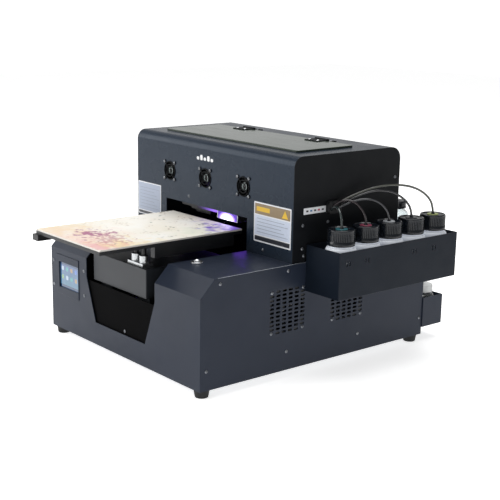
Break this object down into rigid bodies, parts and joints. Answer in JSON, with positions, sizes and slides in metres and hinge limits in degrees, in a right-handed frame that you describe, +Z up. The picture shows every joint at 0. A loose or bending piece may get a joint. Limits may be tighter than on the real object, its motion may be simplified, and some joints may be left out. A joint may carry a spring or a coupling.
{
  "type": "flatbed UV printer",
  "caption": "Desktop flatbed UV printer: steel base and hood, lifting table that slides under the print carriage, ink bottles on the side.",
  "frame": {"origin": "middle of the whole machine's footprint, on the plane its feet stand on", "axes": "+X to the machine's right as seen from the front, +Y to the back, +Z up"},
  "size_m": [0.5596, 0.694, 0.3912],
  "materials": {
    "powder_coat": "satin black powder coat on steel sheet",
    "zinc_sheet": "bright zinc-plated steel sheet",
    "dark_sheet": "matt black powder coat",
    "rubber": "matt black rubber",
    "smoked_panel": "glossy smoked acrylic",
    "bright_steel": "polished nickel-plated steel",
    "ground_steel": "ground bar steel",
    "aluminium": "machined aluminium",
    "black_anodised": "black anodised plate",
    "black_plastic": "moulded black ABS",
    "screen_glass": "touch panel glass over a lit display",
    "white_hdpe": "translucent blow-moulded HDPE",
    "tubing": "clear polyurethane tubing with dark ink inside",
    "clear_pet": "clear PET",
    "board_white": "coated white board, printed",
    "perforated_steel": "perforated cage",
    "circuit_board": "solder-masked laminate with black parts",
    "motor_black": "satin black"
  },
  "bodies": {
    "housing": {"deck_cover": "powder_coat", "side_panels": "powder_coat", "rear_panel": "powder_coat", "hood_wrap": "powder_coat", "hood_ends": "powder_coat", "ink_box": "powder_coat", "waste_holder": "powder_coat", "floor_pan": "zinc_sheet", "cross_beam": "zinc_sheet", "table_trough": "dark_sheet", "feet": "rubber", "carriage_belt": "rubber", "case_screws": "bright_steel", "button_bezel": "bright_steel", "carriage_rail": "ground_steel", "table_rails": "ground_steel", "fan_frames": "black_plastic", "side_fan_frames": "black_plastic", "display_bezel": "black_plastic", "tube_glands": "black_plastic", "mains_inlet": "black_plastic", "ink_caps": "black_plastic", "clear_bottle_lids": "black_plastic", "display_screen": "screen_glass", "ink_bottles": "white_hdpe", "ink_tube_1": "tubing", "ink_tube_2": "tubing", "ink_tube_3": "tubing", "ink_tube_4": "tubing", "ink_tube_5": "tubing", "waste_tube": "tubing", "clear_bottles": "clear_pet", "power_supply": "perforated_steel", "main_board": "circuit_board", "stepper_motors": "motor_black", "lid_hinge_bases": "motor_black", "fan_guards": "motor_black"},
    "lid": {"lid_panel": "smoked_panel", "lid_hinge_leaves": "motor_black", "lid_screws": "bright_steel"},
    "fan_1": {"fan_rotor_1": "black_plastic"},
    "fan_2": {"fan_rotor_2": "black_plastic"},
    "fan_3": {"fan_rotor_3": "black_plastic"},
    "side_fan_1": {"side_fan_rotor_1": "black_plastic"},
    "side_fan_2": {"side_fan_rotor_2": "black_plastic"},
    "button": {"start_button": "bright_steel"},
    "rocker": {"power_rocker": "black_plastic"},
    "carriage": {"print_carriage": "black_plastic", "print_head": "motor_black", "uv_lamp": "aluminium"},
    "drive_wheel": {"drive_pulley": "aluminium"},
    "idler_wheel": {"idler_pulley": "aluminium"},
    "sled": {"table_sled": "dark_sheet", "lift_guides": "aluminium", "lift_motor": "motor_black"},
    "sled_drive": {"sled_screw": "ground_steel"},
    "lift_drive": {"lift_screw": "ground_steel"},
    "table": {"platen_frame": "black_anodised", "platen": "black_anodised", "print_board": "board_white"}
  },
  "joints": [
    {"name": "lid_hinge", "type": "hinge", "parent": "housing", "child": "lid", "pos_m": [-0.0402, 0.135, 0.3886], "axis": [-1, 0, 0], "range_deg": [0, 100]},
    {"name": "fan_1_spin", "type": "hinge", "parent": "housing", "child": "fan_1", "pos_m": [-0.1641, -0.041, 0.3159], "axis": [0, 1, 0], "continuous": true},
    {"name": "fan_2_spin", "type": "hinge", "parent": "housing", "child": "fan_2", "pos_m": [-0.0522, -0.041, 0.3159], "axis": [0, 1, 0], "continuous": true},
    {"name": "fan_3_spin", "type": "hinge", "parent": "housing", "child": "fan_3", "pos_m": [0.0597, -0.041, 0.3159], "axis": [0, 1, 0], "continuous": true},
    {"name": "side_fan_1_spin", "type": "hinge", "parent": "housing", "child": "side_fan_1", "pos_m": [0.1848, -0.059, 0.122], "axis": [1, 0, 0], "continuous": true},
    {"name": "side_fan_2_spin", "type": "hinge", "parent": "housing", "child": "side_fan_2", "pos_m": [0.1848, 0.084, 0.122], "axis": [1, 0, 0], "continuous": true},
    {"name": "start_button_press", "type": "slide", "parent": "housing", "child": "button", "axis": [0, 0, -1], "range_m": [0, 0.0025], "stiffness_N_per_m": 400, "springref_m": -0.002},
    {"name": "power_rocker_tip", "type": "hinge", "parent": "housing", "child": "rocker", "pos_m": [-0.2152, 0.289, 0.123], "axis": [1, 0, 0], "range_deg": [0, 20]},
    {"name": "carriage_travel", "type": "slide", "parent": "housing", "child": "carriage", "axis": [1, 0, 0], "range_m": [-0.105, 0.145]},
    {"name": "drive_pulley_spin", "type": "hinge", "parent": "housing", "child": "drive_wheel", "pos_m": [0.1648, 0.056, 0.326], "axis": [0, 1, 0], "range_deg": [-990, 715]},
    {"name": "idler_pulley_spin", "type": "hinge", "parent": "housing", "child": "idler_wheel", "pos_m": [-0.2452, 0.056, 0.326], "axis": [0, 1, 0], "range_deg": [-990, 715]},
    {"name": "table_travel", "type": "slide", "parent": "housing", "child": "sled", "axis": [0, 1, 0], "range_m": [0, 0.32]},
    {"name": "sled_screw_spin", "type": "hinge", "parent": "housing", "child": "sled_drive", "pos_m": [-0.0522, 0.004, 0.084], "axis": [0, 1, 0], "range_deg": [-11520, 0]},
    {"name": "table_lift", "type": "slide", "parent": "sled", "child": "table", "axis": [0, 0, 1], "range_m": [-0.02, 0]},
    {"name": "lift_screw_spin", "type": "hinge", "parent": "sled", "child": "lift_drive", "pos_m": [-0.0522, -0.151, 0.15], "axis": [0, 0, 1], "range_deg": [0, 1800]}
  ],
  "couplings": [
    {"joint": "drive_pulley_spin", "follows": "carriage_travel", "rad_per_m": -116.96},
    {"joint": "idler_pulley_spin", "follows": "carriage_travel", "rad_per_m": -116.96},
    {"joint": "sled_screw_spin", "follows": "table_travel", "rad_per_m": -628.32},
    {"joint": "lift_screw_spin", "follows": "table_lift", "rad_per_m": -1570.8}
  ]
}
